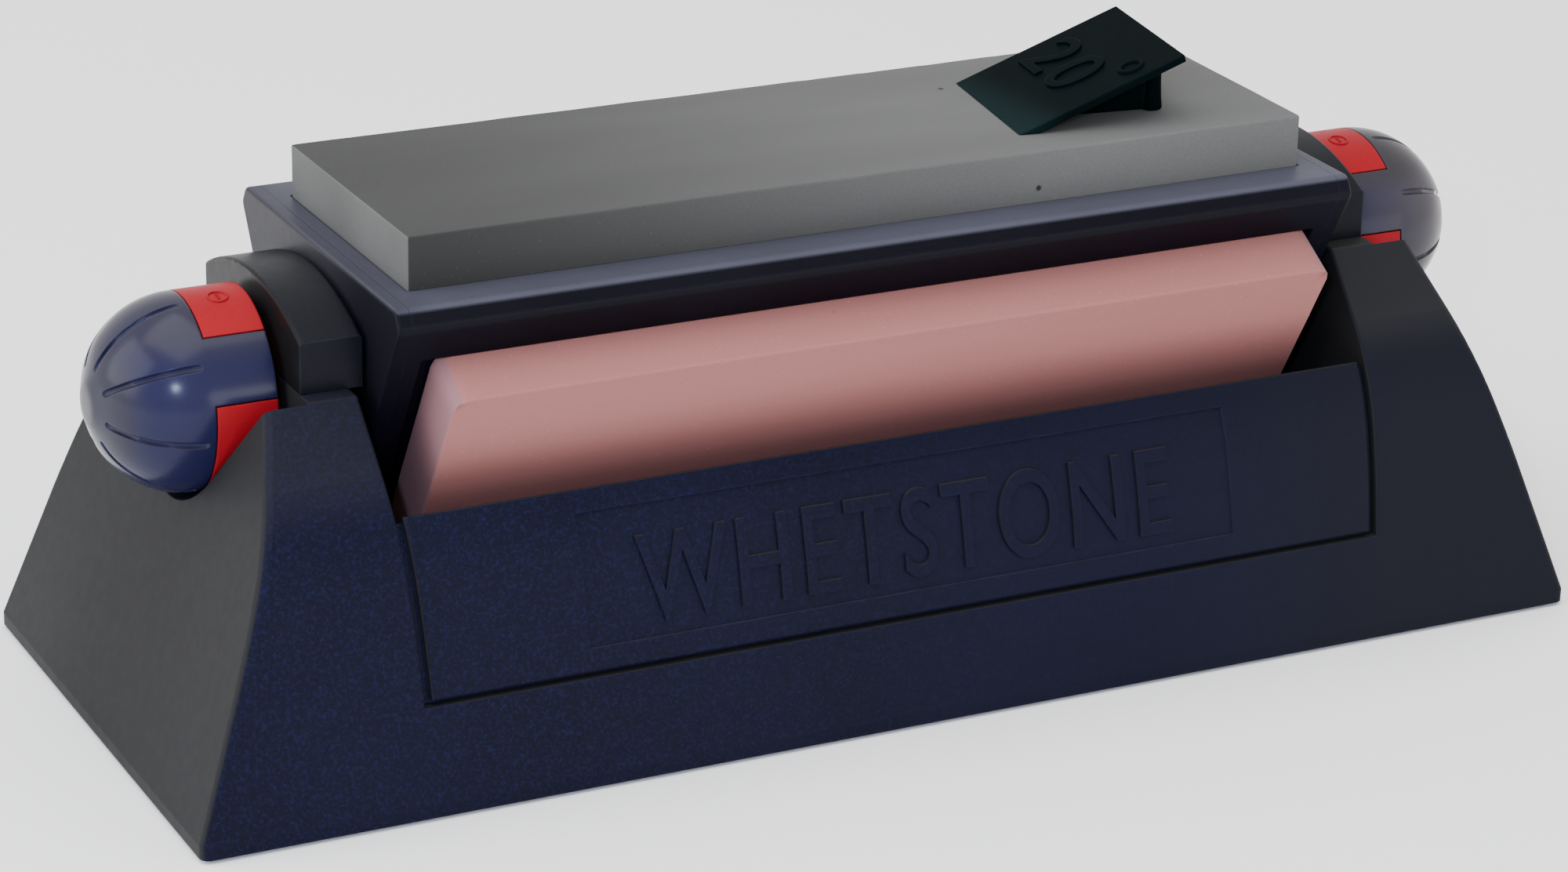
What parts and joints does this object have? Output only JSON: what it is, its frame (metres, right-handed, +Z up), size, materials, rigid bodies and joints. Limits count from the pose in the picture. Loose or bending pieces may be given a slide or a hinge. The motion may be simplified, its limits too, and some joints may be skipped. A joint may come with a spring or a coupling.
{
  "type": "three-sided sharpening stone station",
  "caption": "Bench sharpening station: a three-sided stone carrier turns between the columns of a moulded base, with domed end knobs and a loose angle guide.",
  "frame": {"origin": "centre of the footprint, on the surface that the feet stand on", "axes": "+X along the stones towards the right-hand knob, +Y towards the back, +Z up"},
  "size_m": [0.3152, 0.1262, 0.1247],
  "materials": {
    "base_plastic": "fine-grained satin",
    "cover_plastic": "plain moulded",
    "carrier_plastic": "fine-grained satin",
    "block_plastic": "fine-grained satin",
    "knob_plastic": "semi-gloss",
    "ring_plastic": "semi-gloss",
    "guide_plastic": "satin",
    "grey_stone": "fine bonded abrasive",
    "pink_stone": "fine bonded abrasive",
    "pale_stone": "very fine bonded abrasive",
    "pad_rubber": "matt",
    "foot_rubber": "matt",
    "steel": "turned",
    "zinc_screw": "zinc plated",
    "bearing_bronze": "machined",
    "friction_fibre": "matt"
  },
  "bodies": {
    "base": {"base_shell": "base_plastic", "bottom_cover": "cover_plastic", "cover_screws": "zinc_screw", "drip_tray": "cover_plastic", "front_panel": "base_plastic", "front_panel_screws": "zinc_screw", "left_bearing_block": "block_plastic", "left_block_screws": "zinc_screw", "left_bush": "bearing_bronze", "left_friction_washer": "friction_fibre", "rear_panel": "base_plastic", "rear_panel_screws": "zinc_screw", "right_bearing_block": "block_plastic", "right_block_screws": "zinc_screw", "right_bush": "bearing_bronze", "right_friction_washer": "friction_fibre", "rubber_feet": "foot_rubber", "tray_screws": "zinc_screw"},
    "carrier": {"carrier_shell": "carrier_plastic", "axle": "steel", "top_stone": "grey_stone", "front_stone": "pink_stone", "rear_stone": "pale_stone", "top_pad": "pad_rubber", "front_pad": "pad_rubber", "rear_pad": "pad_rubber", "left_end_plate": "carrier_plastic", "left_index_ring": "ring_plastic", "left_end_washer": "steel", "left_end_screw": "zinc_screw", "left_knob_spring": "steel", "right_end_plate": "carrier_plastic", "right_index_ring": "ring_plastic", "right_end_washer": "steel", "right_end_screw": "zinc_screw", "right_knob_spring": "steel"},
    "left_knob": {"left_knob_shell": "knob_plastic", "left_knob_core": "knob_plastic"},
    "right_knob": {"right_knob_shell": "knob_plastic", "right_knob_core": "knob_plastic"},
    "guide": {"angle_guide": "guide_plastic"}
  },
  "joints": [
    {"name": "carrier_spin", "type": "hinge", "parent": "base", "child": "carrier", "pos_m": [0, 0, 0.0724], "axis": [1, 0, 0], "range_deg": [0, 240]},
    {"name": "left_knob_pull", "type": "slide", "parent": "carrier", "child": "left_knob", "axis": [-1, 0, 0], "range_m": [0, 0.004], "stiffness_N_per_m": 600, "springref_m": -0.01, "deforming": ["left_knob_spring"]},
    {"name": "right_knob_pull", "type": "slide", "parent": "carrier", "child": "right_knob", "axis": [1, 0, 0], "range_m": [0, 0.004], "stiffness_N_per_m": 600, "springref_m": -0.01, "deforming": ["right_knob_spring"]},
    {"name": "guide_lift", "type": "slide", "parent": "base", "child": "guide", "axis": [0, 0, 1], "range_m": [0, 0.12]}
  ],
  "couplings": [
    {"joint": "guide_lift", "follows": "carrier_spin", "m_per_rad": 0.028648}
  ]
}
